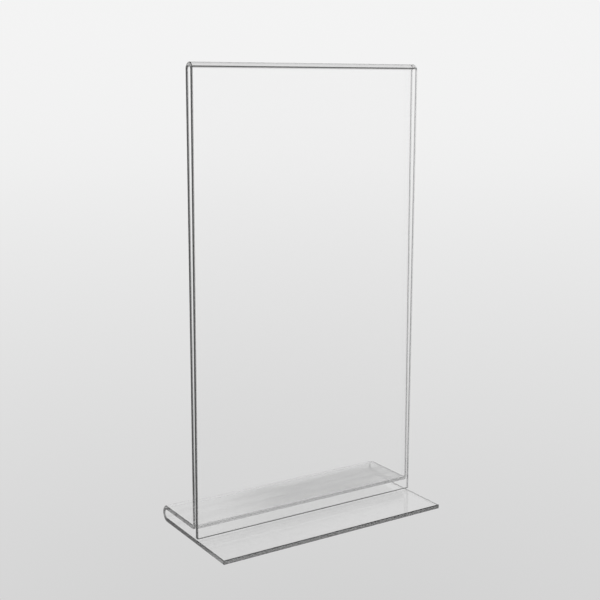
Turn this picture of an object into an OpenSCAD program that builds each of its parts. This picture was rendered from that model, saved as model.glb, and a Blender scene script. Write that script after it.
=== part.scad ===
// Clear sheet stand: one acrylic sheet folded into a two-pane pocket on a looped foot.
// Origin: middle of the footprint on the table.  +X runs along the width, +Y to the rear, +Z up.

/* [Sheet] */
// Thickness of the acrylic sheet
sheet_t = 3; // [2:0.5:5]
// Width of the sheet, the same all along its folded length
sheet_w = 180; // [80:1:400]

/* [Pocket] */
// Height of the stand, from the table to the crown of the top fold
stand_h = 322; // [120:1:500]
// Clear gap between the panes, just under the top fold
slot_gap = 3.5; // [1:0.25:8]
// Clear gap between the panes at the front pane's lower edge, where they pinch the print
slot_foot = 1; // [0.25:0.25:8]
// Gap between the front pane's lower edge and the base plate
pane_lift = 1; // [0.5:0.5:10]

/* [Foot] */
// How far the base plate reaches in front of the front pane, measured under the top fold
foot_front = 34; // [15:0.5:80]
// How far the rear loop reaches behind the back pane
foot_rear = 47; // [20:0.5:90]
// Clear gap between the shelf and the base plate
shelf_gap = 6; // [4.5:0.5:20]
// Inside radius of the bend between the back pane and the shelf
heel_r = 1; // [0.5:0.25:4]

/* [Hidden] */
$fn = 96;

clear_acrylic = [0.86, 0.90, 0.92, 0.45];

// Places along the depth
depth = foot_front + 2 * sheet_t + slot_gap + foot_rear;
foot_toe_y = -depth / 2;
front_face_y = foot_toe_y + foot_front;
back_inner_y = front_face_y + sheet_t + slot_gap;
rear_face_y = back_inner_y + sheet_t;
fold_mid_y = (front_face_y + rear_face_y) / 2;

// Radii of the folds: r_in is the inside of a bend, r_in + sheet_t its outside
fold_r = slot_gap / 2;
fold_out_r = fold_r + sheet_t;
loop_r = shelf_gap / 2;
loop_out_r = loop_r + sheet_t;

// Heights
fold_z = stand_h - fold_out_r;
front_low_z = sheet_t + pane_lift;
shelf_low_z = sheet_t + shelf_gap;
heel_z = shelf_low_z + sheet_t + heel_r;

// The front pane leans back by this angle, and is this long, so that it narrows the slot as it falls
pane_fall = fold_z - front_low_z;
lean = asin((slot_gap - slot_foot) / pane_fall);
pane_len = (pane_fall - fold_out_r * sin(lean)) / cos(lean);

// Where the shelf runs between its two bends
heel_y = rear_face_y + heel_r;
loop_y = depth / 2 - loop_out_r;

// Sweeps a side profile, drawn as (depth, height), across the sheet's width
module across() {
    rotate([90, 0, 90])
        linear_extrude(height = sheet_w, center = true)
            children();
}

// Flat stretch of sheet: near corner at (y, z), ly deep and lz high
module flat(y, z, ly, lz) {
    across()
        translate([y, z])
            square([ly, lz]);
}

// Bend of inside radius r_in about (y, z), kept where its children cover it
module bend(y, z, r_in) {
    across()
        translate([y, z])
            intersection() {
                difference() {
                    circle(r = r_in + sheet_t);
                    circle(r = r_in);
                }
                children();
            }
}

// Window over the part of a bend that lies above its centre
module upper_half(r_out) {
    translate([-r_out, 0])
        square([2 * r_out, r_out]);
}

// Front pane: hangs from the top fold, leans back and stops just above the base plate
module front_pane() {
    color(clear_acrylic)
        across()
            translate([fold_mid_y, fold_z])
                rotate(lean)
                    translate([-fold_out_r, -pane_len])
                        square([sheet_t, pane_len]);
}

// Top fold: closes the pocket at the top, turning half round plus the front pane's lean
module top_fold() {
    color(clear_acrylic)
        bend(fold_mid_y, fold_z, fold_r) {
            upper_half(fold_out_r);
            rotate(lean)
                upper_half(fold_out_r);
        }
}

// Back pane: runs from the top fold down to the heel
module back_pane() {
    color(clear_acrylic)
        flat(back_inner_y, heel_z, sheet_t, fold_z - heel_z);
}

// Heel bend: quarter ring that turns the back pane rearward into the shelf
module heel_bend() {
    r_out = heel_r + sheet_t;
    color(clear_acrylic)
        bend(heel_y, heel_z, heel_r)
            translate([-r_out, -r_out])
                square(r_out);
}

// Shelf: upper layer of the foot, behind the panes
module shelf() {
    color(clear_acrylic)
        flat(heel_y, shelf_low_z, loop_y - heel_y, sheet_t);
}

// Rear loop: half ring that rolls the shelf down to the base plate
module rear_loop() {
    color(clear_acrylic)
        bend(loop_y, loop_out_r, loop_r)
            translate([0, -loop_out_r])
                square([loop_out_r, 2 * loop_out_r]);
}

// Base plate: lies on the table and runs forward under both panes to the toe
module base_plate() {
    color(clear_acrylic)
        flat(foot_toe_y, 0, loop_y - foot_toe_y, sheet_t);
}

front_pane();
top_fold();
back_pane();
heel_bend();
shelf();
rear_loop();
base_plate();
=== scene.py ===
from math import asin, atan2, cos, degrees, hypot, pi, radians, sin

import bmesh
import bpy
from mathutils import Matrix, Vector


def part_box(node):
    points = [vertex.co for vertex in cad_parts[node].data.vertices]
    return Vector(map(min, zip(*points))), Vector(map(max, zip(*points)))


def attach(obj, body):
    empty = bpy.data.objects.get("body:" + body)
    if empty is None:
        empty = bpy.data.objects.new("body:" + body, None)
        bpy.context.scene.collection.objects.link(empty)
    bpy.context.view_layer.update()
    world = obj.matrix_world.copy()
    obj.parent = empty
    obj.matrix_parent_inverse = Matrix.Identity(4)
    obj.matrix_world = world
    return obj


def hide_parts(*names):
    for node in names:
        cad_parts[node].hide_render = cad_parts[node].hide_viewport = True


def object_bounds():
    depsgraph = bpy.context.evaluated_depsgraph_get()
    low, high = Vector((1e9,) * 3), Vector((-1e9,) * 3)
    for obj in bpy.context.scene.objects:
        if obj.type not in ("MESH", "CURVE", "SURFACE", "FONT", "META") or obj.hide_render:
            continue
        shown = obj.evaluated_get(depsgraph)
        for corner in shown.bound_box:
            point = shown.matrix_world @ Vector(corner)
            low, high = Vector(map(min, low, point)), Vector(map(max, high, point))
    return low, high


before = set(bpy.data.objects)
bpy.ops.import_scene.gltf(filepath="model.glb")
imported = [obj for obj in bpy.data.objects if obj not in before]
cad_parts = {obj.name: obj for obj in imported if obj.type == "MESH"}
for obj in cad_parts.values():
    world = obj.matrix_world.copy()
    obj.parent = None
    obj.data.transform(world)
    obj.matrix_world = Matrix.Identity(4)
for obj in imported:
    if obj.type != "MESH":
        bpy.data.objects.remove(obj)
cad_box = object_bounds()

# ---------------------------------------------------------------- sizes, from the CAD frame (metres)
BODY = "root"
pane_lo, pane_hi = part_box("front_pane")
back_lo, back_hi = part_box("back_pane")
shelf_lo, shelf_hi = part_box("shelf")
base_lo, base_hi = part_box("base_plate")

SHEET_T = base_hi.z - base_lo.z
SHEET_W = base_hi.x - base_lo.x
STAND_H = cad_box[1].z - cad_box[0].z

# How the sheet's cut edges and bends are meshed
ARRIS = 0.0005  # radius of the rounding where a cut edge meets a broad face
ARRIS_STEPS = 4  # facets round an arris
HALF_TURN_STEPS = 96  # facets round a 180 degree bend


# ---------------------------------------------------------------- the folded sheet
class Station:
    """One cross-section of the sheet: the place of its mid-plane in (y, z), the direction across its
    thickness, its arc length along the sheet, and, where a cut end is rounded, how far its outline is
    drawn in and how far its surface has turned towards the end."""

    def __init__(self, y, z, normal, run, inset=0.0, turn=0.0):
        self.y = y
        self.z = z
        self.normal = normal
        self.run = run
        self.inset = inset
        self.turn = turn


# Kinds of surface, in the order of a piece's material slots: a broad face, a cut side edge and its
# arrises, a cut end of the sheet and its arrises, and a plane where two stretches meet
FACE, CUT, RIM, END, END_RIM, JOINT = range(6)
EDGE_WAY = "edge_way"  # grows along every cut edge: arc length along the sheet plus x
RING = 4 * (ARRIS_STEPS + 1)  # points round one cross-section


def outline(inset):
    """The sheet's cross-section as (x, n, normal x, normal n): its width by its thickness, with rounded
    corners."""
    radius = max(ARRIS - inset, 0.0)
    centre_x = SHEET_W / 2 - inset - radius
    centre_n = SHEET_T / 2 - inset - radius
    points = []
    for quarter, (sign_x, sign_n) in enumerate(((1, 1), (-1, 1), (-1, -1), (1, -1))):
        for step in range(ARRIS_STEPS + 1):
            turn = (quarter + step / ARRIS_STEPS) * pi / 2
            normal_x = cos(turn)
            normal_n = sin(turn)
            x = sign_x * centre_x + radius * normal_x
            n = sign_n * centre_n + radius * normal_n
            points.append((x, n, normal_x, normal_n))
    return points


def ring_kind(step):
    """What the strip after outline point step is: a broad face, a cut side edge or an arris."""
    quarter, along = divmod(step, ARRIS_STEPS + 1)
    if along < ARRIS_STEPS:
        return RIM
    return FACE if quarter % 2 == 0 else CUT


def straight(start, end, normal, run):
    """Stations at both ends of a flat stretch that starts run along the sheet."""
    length = hypot(end[0] - start[0], end[1] - start[1])
    return [Station(*start, normal, run), Station(*end, normal, run + length)]


def turned(centre, radius, first, last, run):
    """Stations round a bend about centre, from angle first to angle last, in degrees."""
    count = max(2, round(HALF_TURN_STEPS * abs(last - first) / 180))
    stations = []
    for step in range(count + 1):
        angle = radians(first + (last - first) * step / count)
        normal = (cos(angle), sin(angle))
        arc = radius * abs(angle - radians(first))
        place = (centre[0] + radius * normal[0], centre[1] + radius * normal[1])
        stations.append(Station(*place, normal, run + arc))
    return stations


def rounded_off(end, along):
    """Stations that close a cut end at station end, whose outward direction is along."""
    stations = []
    for step in range(ARRIS_STEPS + 1):
        turn = step / ARRIS_STEPS * pi / 2
        back = ARRIS * (1 - sin(turn))
        place = (end.y - back * along[0], end.z - back * along[1])
        stations.append(Station(*place, end.normal, end.run, ARRIS * (1 - cos(turn)), turn))
    return stations


class Shell:
    """A mesh in the making: corners welded by place, and faces with a normal at each corner."""

    WELD_GRID = 1e7  # corners are welded on a grid with this many steps to the metre

    def __init__(self):
        self.places = []
        self.ways = []
        self.known = {}
        self.faces = []
        self.kinds = []
        self.normals = []

    def corner(self, place, run):
        """The index of the corner at a place, run along the sheet; a new one if there is none."""
        key = tuple(round(v * self.WELD_GRID) for v in place)
        if key not in self.known:
            self.known[key] = len(self.places)
            self.places.append(place)
            self.ways.append(run + place[0])
        return self.known[key]

    def face(self, corners, kind):
        """A face of (corner, normal) pairs; corners that coincide count once."""
        kept = [c for k, c in enumerate(corners) if c[0] != corners[k - 1][0]]
        if len(kept) < 3:
            return
        self.faces.append([index for index, normal in kept])
        self.normals.extend(normal for index, normal in kept)
        self.kinds.append(kind)

    def made(self, name):
        """The object, with its kinds of surface, its normals and its way along the edges."""
        mesh = bpy.data.meshes.new(name)
        mesh.from_pydata(self.places, [], self.faces)
        for polygon, kind in zip(mesh.polygons, self.kinds):
            polygon.material_index = kind
        mesh.polygons.foreach_set("use_smooth", [True] * len(mesh.polygons))
        mesh.normals_split_custom_set(self.normals)
        mesh.attributes.new(EDGE_WAY, "FLOAT", "POINT").data.foreach_set("value", self.ways)
        piece = bpy.data.objects.new(name, mesh)
        bpy.context.scene.collection.objects.link(piece)
        return piece


def way_between(here, there):
    """The direction of the sheet from one station to the next, square to the first one's thickness."""
    ahead = Vector((0, there.y - here.y, there.z - here.z))
    across = Vector((0, *here.normal))
    return (ahead - across * ahead.dot(across)).normalized()


def swept(name, stations, cut_first=False, cut_last=False):
    """A closed mesh swept through the stations. An end that isn't cut is a joint plane, where the sheet
    runs on into its neighbour."""
    shell = Shell()
    setting_off = way_between(stations[0], stations[1])
    start_way = -setting_off
    end_way = way_between(stations[-2], stations[-1])
    outward = Vector((1, 0, 0)).cross(Vector((0, *stations[0].normal))).dot(setting_off) > 0
    cut_way = start_way if cut_first else end_way

    rings = []
    for station in stations:
        ring = []
        for x, n, nx, nn in outline(station.inset):
            place = (x, station.y + n * station.normal[0], station.z + n * station.normal[1])
            side = Vector((nx, nn * station.normal[0], nn * station.normal[1]))
            normal = side * cos(station.turn) + cut_way * sin(station.turn)
            ring.append((shell.corner(place, station.run), normal))
        rings.append(ring)

    for near, far, here, there in zip(rings, rings[1:], stations, stations[1:]):
        rounding = here.turn > 0 or there.turn > 0
        for step in range(RING):
            following = (step + 1) % RING
            corners = [near[step], near[following], far[following], far[step]]
            if not outward:
                corners.reverse()
            shell.face(corners, END_RIM if rounding else ring_kind(step))

    for ring, way, is_cut, turned_round in (
        (rings[0], start_way, cut_first, outward),
        (rings[-1], end_way, cut_last, not outward),
    ):
        corners = [(index, way) for index, normal in ring]
        if turned_round:
            corners.reverse()
        shell.face(corners, END if is_cut else JOINT)
    return shell.made(name)


# ---------------------------------------------------------------- materials
ACRYLIC_IOR = 1.49
ROUGH_FROM = 0.3  # the value of a noise that gives the least roughness
ROUGH_TO = 0.75  # and the one that gives the most
# The haze's streaks: uneven tone of the worked acrylic, laid over a grey that is painted shade
STREAK_FROM = 0.25  # the value of a noise that gives the thinnest haze
STREAK_TO = 0.75  # and the one that gives the full haze
STREAK_THIN = 0.6  # share of the haze that is left where it is thinnest


def node(tree, kind, **inputs):
    """A new node of a kind, with the values of its named inputs."""
    made = tree.nodes.new("ShaderNode" + kind)
    for name, value in inputs.items():
        made.inputs[name.replace("_", " ")].default_value = value
    return made


def acrylic(name, clear):
    """Clear acrylic that lets through this share of the light, and its shader; where the share is well
    under one, as on the cut edges, the grey is painted shade.
    """
    material = bpy.data.materials.new(name)
    material.use_nodes = True
    shader = material.node_tree.nodes["Principled BSDF"]
    shader.inputs["Base Color"].default_value = (clear, clear, clear, 1.0)
    shader.inputs["Roughness"].default_value = 0.0
    shader.inputs["IOR"].default_value = ACRYLIC_IOR
    shader.inputs["Transmission Weight"].default_value = 1.0
    return material, shader


def rough_and_bumpy(tree, shader, pattern, rough, depth):
    """Lets a noise set the roughness, between two values, and the relief, in metres."""
    least, most = rough
    spread = node(tree, "MapRange", From_Min=ROUGH_FROM, From_Max=ROUGH_TO, To_Min=least, To_Max=most)
    relief = node(tree, "Bump", Strength=1.0, Distance=depth)
    tree.links.new(pattern, spread.inputs["Value"])
    tree.links.new(spread.outputs["Result"], shader.inputs["Roughness"])
    tree.links.new(pattern, relief.inputs["Height"])
    tree.links.new(relief.outputs["Normal"], shader.inputs["Normal"])


def face_finish(name, clear, size, rough, depth):
    """A broad face with a soft unevenness of this size."""
    material, shader = acrylic(name, clear)
    tree = material.node_tree
    place = node(tree, "TexCoord")
    waves = node(tree, "TexNoise", Scale=1 / size, Detail=3.0, Roughness=0.5)
    tree.links.new(place.outputs["Object"], waves.inputs["Vector"])
    rough_and_bumpy(tree, shader, waves.outputs["Fac"], rough, depth)
    return material


def saw_marks_and_painted_shade(name, clear, pitch, rough, depth):
    """A cut edge: the marks of the saw run across it, so the pattern changes only along it. Its grey
    colour is painted shade: the lines along the sheet's edges.
    """
    material, shader = acrylic(name, clear)
    tree = material.node_tree
    way = node(tree, "Attribute")
    way.attribute_name = EDGE_WAY
    marks = node(tree, "TexNoise", Scale=1 / pitch, Detail=4.0, Roughness=0.65)
    marks.noise_dimensions = "1D"
    tree.links.new(way.outputs["Fac"], marks.inputs["W"])
    rough_and_bumpy(tree, shader, marks.outputs["Fac"], rough, depth)
    return material


def haze_and_painted_shade(name, clear, hazy_and_shaded, grows_x, grows_y, behind, stretch, size, rough, depth):
    """Acrylic that was heated and pressed: a haze with streaks, stretched so many times along x. Its
    grey colour is
    painted shade, the shade under the stand: it lets through less light, down from clear to the darkest
    share, as it comes up between the two places of grows_x along the width and of grows_y along the
    depth, where it starts at the share behind."""
    material, shader = acrylic(name, clear)
    tree = material.node_tree
    place = node(tree, "TexCoord")
    parts = node(tree, "SeparateXYZ")
    drawn = node(tree, "Mapping", Scale=(1 / stretch, 1.0, 1.0))
    streaks = node(tree, "TexNoise", Scale=1 / size, Detail=3.0, Roughness=0.6)
    haze = node(tree, "MapRange", From_Min=STREAK_FROM, From_Max=STREAK_TO, To_Min=STREAK_THIN)
    shade = node(tree, "MapRange", To_Min=clear, To_Max=hazy_and_shaded)
    tree.links.new(place.outputs["Object"], drawn.inputs["Vector"])
    tree.links.new(place.outputs["Object"], parts.inputs["Vector"])
    tree.links.new(drawn.outputs["Vector"], streaks.inputs["Vector"])
    tree.links.new(streaks.outputs["Fac"], haze.inputs["Value"])
    amount = haze.outputs["Result"]
    for axis, (start, full), least in (("X", grows_x, 0.0), ("Y", grows_y, behind)):
        onset = node(tree, "MapRange", From_Min=start, From_Max=full, To_Min=least)
        onset.interpolation_type = "SMOOTHSTEP"
        both = node(tree, "Math")
        both.operation = "MULTIPLY"
        tree.links.new(parts.outputs[axis], onset.inputs["Value"])
        tree.links.new(amount, both.inputs[0])
        tree.links.new(onset.outputs["Result"], both.inputs[1])
        amount = both.outputs["Value"]
    tree.links.new(amount, shade.inputs["Value"])
    tree.links.new(shade.outputs["Result"], shader.inputs["Base Color"])
    rough_and_bumpy(tree, shader, streaks.outputs["Fac"], rough, depth)
    return material


def joint_plane():
    """Where two stretches of the one sheet meet: there is no surface there."""
    material = bpy.data.materials.new("acrylic_joint")
    material.use_nodes = True
    tree = material.node_tree
    tree.nodes.clear()
    clear = node(tree, "BsdfTransparent")
    out = node(tree, "OutputMaterial")
    tree.links.new(clear.outputs["BSDF"], out.inputs["Surface"])
    return material


POLISHED = face_finish("acrylic_polished", clear=0.99, size=0.045, rough=(0.0, 0.012), depth=0.000004)
RUBBED = face_finish("acrylic_rubbed_face", clear=0.995, size=0.005, rough=(0.07, 0.13), depth=0.000002)
# The shelf and rear loop: streaked haze, and a grey that is painted shade, darker towards +x and towards
# the heel, lightest on the loop
HAZE_AND_PAINTED_SHADE = haze_and_painted_shade(
    "acrylic_haze_painted_shade",
    clear=0.985,
    hazy_and_shaded=0.655,
    grows_x=(-0.38 * SHEET_W, 0.02 * SHEET_W),
    grows_y=(shelf_hi.y - SHEET_T, shelf_hi.y - 4 * SHEET_T),
    behind=0.3,
    stretch=10.0,
    size=0.005,
    rough=(0.02, 0.2),
    depth=0.00001,
)
# The greys of the cut edges, arrises, toe and pane foot are painted shade: the dark and grey lines along
# the sheet's edges
SAWN = saw_marks_and_painted_shade("acrylic_cut_edge", clear=0.66, pitch=0.009, rough=(0.04, 0.22), depth=0.00006)
EASED = saw_marks_and_painted_shade("acrylic_eased_edge", clear=0.24, pitch=0.009, rough=(0.04, 0.15), depth=0.00003)
TOE = saw_marks_and_painted_shade("acrylic_toe_edge", clear=0.33, pitch=0.012, rough=(0.05, 0.25), depth=0.00006)
TOE_EASED = saw_marks_and_painted_shade("acrylic_toe_arris", clear=0.07, pitch=0.012, rough=(0.04, 0.15), depth=0.00003)
FOOT = saw_marks_and_painted_shade("acrylic_pane_foot", clear=0.85, pitch=0.012, rough=(0.04, 0.2), depth=0.00004)
FOOT_EASED = saw_marks_and_painted_shade(
    "acrylic_pane_foot_arris", clear=0.75, pitch=0.012, rough=(0.04, 0.15), depth=0.00002
)
JOINED = joint_plane()


def finish_piece(piece, replaced, face=POLISHED, end=SAWN, end_rim=EASED):
    """Gives a piece its materials, in the order of the kinds of surface, and its place in the frame."""
    for material in (face, SAWN, EASED, end, end_rim, JOINED):
        piece.data.materials.append(material)
    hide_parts(replaced)
    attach(piece, BODY)


# ---------------------------------------------------------------- the seven stretches of the sheet
# Directions and places are (y, z); a stretch's place is that of the sheet's mid-plane
HALF_T = SHEET_T / 2
UP = (0, 1)
DOWN = (0, -1)
FORWARD = (-1, 0)
BACK = (1, 0)

back_y = back_hi.y - HALF_T
fold_out_r = STAND_H - back_hi.z
fold_r = fold_out_r - HALF_T
fold_centre = (back_hi.y - fold_out_r, back_hi.z)
heel_centre = (shelf_lo.y, back_lo.z)
heel_r = heel_centre[0] - back_y
shelf_z = shelf_lo.z + HALF_T
loop_centre = (shelf_hi.y, shelf_hi.z / 2)
loop_r = loop_centre[1] - HALF_T
base_z = HALF_T

# The front pane leans back, so its box is deeper than the sheet is thick
lean = asin((pane_hi.y - pane_lo.y - SHEET_T) / (pane_hi.z - pane_lo.z))
pane_len = (fold_centre[1] - pane_lo.z - fold_out_r * sin(lean)) / cos(lean)
pane_front = (-cos(lean), -sin(lean))
pane_down = (sin(lean), -cos(lean))
pane_top = (fold_centre[0] + fold_r * pane_front[0], fold_centre[1] + fold_r * pane_front[1])
pane_end = (pane_top[0] + pane_len * pane_down[0], pane_top[1] + pane_len * pane_down[1])

# Arc length along the sheet where each stretch starts, from the front pane's foot
run_fold = pane_len
run_back = run_fold + (pi + lean) * fold_r
run_heel = run_back + back_hi.z - back_lo.z
run_shelf = run_heel + pi / 2 * heel_r
run_loop = run_shelf + shelf_hi.y - shelf_lo.y
run_base = run_loop + pi * loop_r
run_toe = run_base + loop_centre[0] - base_lo.y

foot_end = Station(*pane_end, pane_front, 0.0)
toe_end = Station(base_lo.y, base_z, DOWN, run_toe)

front_stations = rounded_off(foot_end, pane_down)
front_stations.reverse()
front_stations.append(Station(*pane_top, pane_front, run_fold))
fold_stations = turned(fold_centre, fold_r, 180 + degrees(lean), 0, run_fold)
back_stations = straight((back_y, back_hi.z), (back_y, back_lo.z), BACK, run_back)
heel_stations = turned(heel_centre, heel_r, 180, 270, run_heel)
shelf_stations = straight((shelf_lo.y, shelf_z), (shelf_hi.y, shelf_z), UP, run_shelf)
loop_stations = turned(loop_centre, loop_r, 90, -90, run_loop)
base_stations = [Station(loop_centre[0], base_z, DOWN, run_base)] + rounded_off(toe_end, FORWARD)

front_sheet = swept("front_pane_sheet", front_stations, cut_first=True)
base_sheet = swept("base_plate_sheet", base_stations, cut_last=True)

finish_piece(front_sheet, "front_pane", end=FOOT, end_rim=FOOT_EASED)
finish_piece(swept("top_fold_sheet", fold_stations), "top_fold")
finish_piece(swept("back_pane_sheet", back_stations), "back_pane")
finish_piece(swept("heel_bend_sheet", heel_stations), "heel_bend")
finish_piece(swept("shelf_sheet", shelf_stations), "shelf", face=HAZE_AND_PAINTED_SHADE)
finish_piece(swept("rear_loop_sheet", loop_stations), "rear_loop", face=HAZE_AND_PAINTED_SHADE)
finish_piece(base_sheet, "base_plate", face=RUBBED, end=TOE, end_rim=TOE_EASED)


# ---------------------------------------------------------------- camera
CAMERA_AZIMUTH = radians(32.56)  # how far left of the front it stands
CAMERA_PITCH = radians(9.24)  # how far it looks down
CAMERA_LENS = 65.5
CAMERA_SHIFT_Y = -0.06
CAMERA_FROM_BACK = Vector((-1.2655, -1.9643, 0.9519))  # from the back pane's foot, in stand heights

camera_data = bpy.data.cameras.new("camera")
camera_data.lens = CAMERA_LENS
camera_data.sensor_width = 36.0
camera_data.shift_y = CAMERA_SHIFT_Y
camera = bpy.data.objects.new("camera", camera_data)
bpy.context.scene.collection.objects.link(camera)
camera.location = Vector((0, back_hi.y, 0)) + CAMERA_FROM_BACK * STAND_H
camera.rotation_euler = (pi / 2 - CAMERA_PITCH, 0, -CAMERA_AZIMUTH)
bpy.context.scene.camera = camera

# ---------------------------------------------------------------- stage: a bowl with a soft glow
BOWL_FLOOR_R = 3.0
BOWL_SWEEP_R = 1.5
BOWL_WALL_H = 3.0
BOWL_DROP = 0.0002  # the floor is this far under the base plate
BOWL_SEGMENTS = 96
FLOOR_RINGS = 30
FLOOR_CROWDING = 1.7  # over 1, the floor's rings crowd towards the stand
SWEEP_RINGS = 20
WALL_RINGS = 10

# The glow, in display greys: GLOW_DIP under GLOW_TOP at its dimmest, half of that GLOW_REACH away
GLOW_TOP = 246.5
GLOW_DIP = 41.5
GLOW_REACH = 0.8
GLOW_CLIMB = 10.0  # how much faster it grows up the wall than out along the floor
GLOW_FOOT = 0.25  # the dimmest place on the floor is this far from the stand towards the camera

# The upper part of the bowl is darker, which draws the dark lines along the acrylic's edges
DARK_FROM = radians(12)  # height above the horizon where it starts
DARK_OVER = radians(30)  # and over how much height it comes up
DARK_LEAST = 0.32  # share of the light that is left above that
DARK_ROOM = 0.07  # the light that comes in over the bowl's rim


def linear(grey):
    """The light that a display shows as this grey, out of 255."""
    return ((grey / 255 + 0.055) / 1.055) ** 2.4


def glow_at(x, y, z):
    """The light that the bowl gives off at a point."""
    ahead = Vector((sin(CAMERA_AZIMUTH), cos(CAMERA_AZIMUTH)))
    foot = Vector((x, y)) + ahead * GLOW_FOOT
    reach = foot.length + GLOW_CLIMB * z
    light = linear(GLOW_TOP - GLOW_DIP / (1 + reach / GLOW_REACH))
    climb = (atan2(z, hypot(x, y)) - DARK_FROM) / DARK_OVER
    fade = min(max(climb, 0.0), 1.0)
    return light * (1 - (1 - DARK_LEAST) * fade * fade * (3 - 2 * fade))


def bowl_profile():
    """(radius, height) points from the middle of the floor out and up the wall."""
    points = []
    for k in range(FLOOR_RINGS + 1):
        points.append((BOWL_FLOOR_R * (k / FLOOR_RINGS) ** FLOOR_CROWDING, 0.0))
    for k in range(1, SWEEP_RINGS + 1):
        angle = pi / 2 * k / SWEEP_RINGS
        points.append((BOWL_FLOOR_R + BOWL_SWEEP_R * sin(angle), BOWL_SWEEP_R * (1 - cos(angle))))
    for k in range(1, WALL_RINGS + 1):
        points.append((BOWL_FLOOR_R + BOWL_SWEEP_R, BOWL_SWEEP_R + BOWL_WALL_H * k / WALL_RINGS))
    return points


def bowl_ring(bm, radius, height):
    """The bowl's corners at one radius: a circle of them, or one in the middle."""
    if radius == 0:
        return [bm.verts.new((0, 0, height))]
    ring = []
    for k in range(BOWL_SEGMENTS):
        angle = 2 * pi * k / BOWL_SEGMENTS
        ring.append(bm.verts.new((radius * cos(angle), radius * sin(angle), height)))
    return ring


def glowing(name, attribute_name):
    """A material that gives off the light in a mesh attribute."""
    material = bpy.data.materials.new(name)
    material.use_nodes = True
    tree = material.node_tree
    tree.nodes.clear()
    attribute = node(tree, "Attribute")
    attribute.attribute_name = attribute_name
    emit = node(tree, "Emission")
    out = node(tree, "OutputMaterial")
    tree.links.new(attribute.outputs["Fac"], emit.inputs["Strength"])
    tree.links.new(emit.outputs["Emission"], out.inputs["Surface"])
    material.cycles.emission_sampling = "NONE"
    return material


def make_bowl():
    """The floor and wall in one, as a surface that glows."""
    bm = bmesh.new()
    glow = bm.verts.layers.float.new("glow")
    rings = [bowl_ring(bm, radius, height - BOWL_DROP) for radius, height in bowl_profile()]
    for vert in bm.verts:
        vert[glow] = glow_at(*vert.co)
    for inner, outer in zip(rings, rings[1:]):
        for k in range(BOWL_SEGMENTS):
            following = (k + 1) % BOWL_SEGMENTS
            if len(inner) == 1:
                bm.faces.new((inner[0], outer[k], outer[following]))
            else:
                bm.faces.new((inner[k], outer[k], outer[following], inner[following]))
    for facet in bm.faces:
        facet.smooth = True
    mesh = bpy.data.meshes.new("studio_bowl")
    bm.to_mesh(mesh)
    bm.free()
    mesh.materials.append(glowing("studio_glow", "glow"))
    bowl = bpy.data.objects.new("studio_bowl", mesh)
    bpy.context.scene.collection.objects.link(bowl)
    return bowl


make_bowl()

world = bpy.data.worlds.new("studio_dark")
world.use_nodes = True
world.node_tree.nodes["Background"].inputs["Color"].default_value = (DARK_ROOM, DARK_ROOM, DARK_ROOM, 1)
bpy.context.scene.world = world

# ---------------------------------------------------------------- how the picture is shown
SHEET_BOUNCES = 24  # light crosses many faces of the sheet before it gets out
JOINT_BOUNCES = 64  # and many of the see-through planes between its stretches

scene = bpy.context.scene
scene.view_settings.view_transform = "Standard"
scene.cycles.max_bounces = SHEET_BOUNCES
scene.cycles.transmission_bounces = SHEET_BOUNCES
scene.cycles.glossy_bounces = SHEET_BOUNCES
scene.cycles.transparent_max_bounces = JOINT_BOUNCES
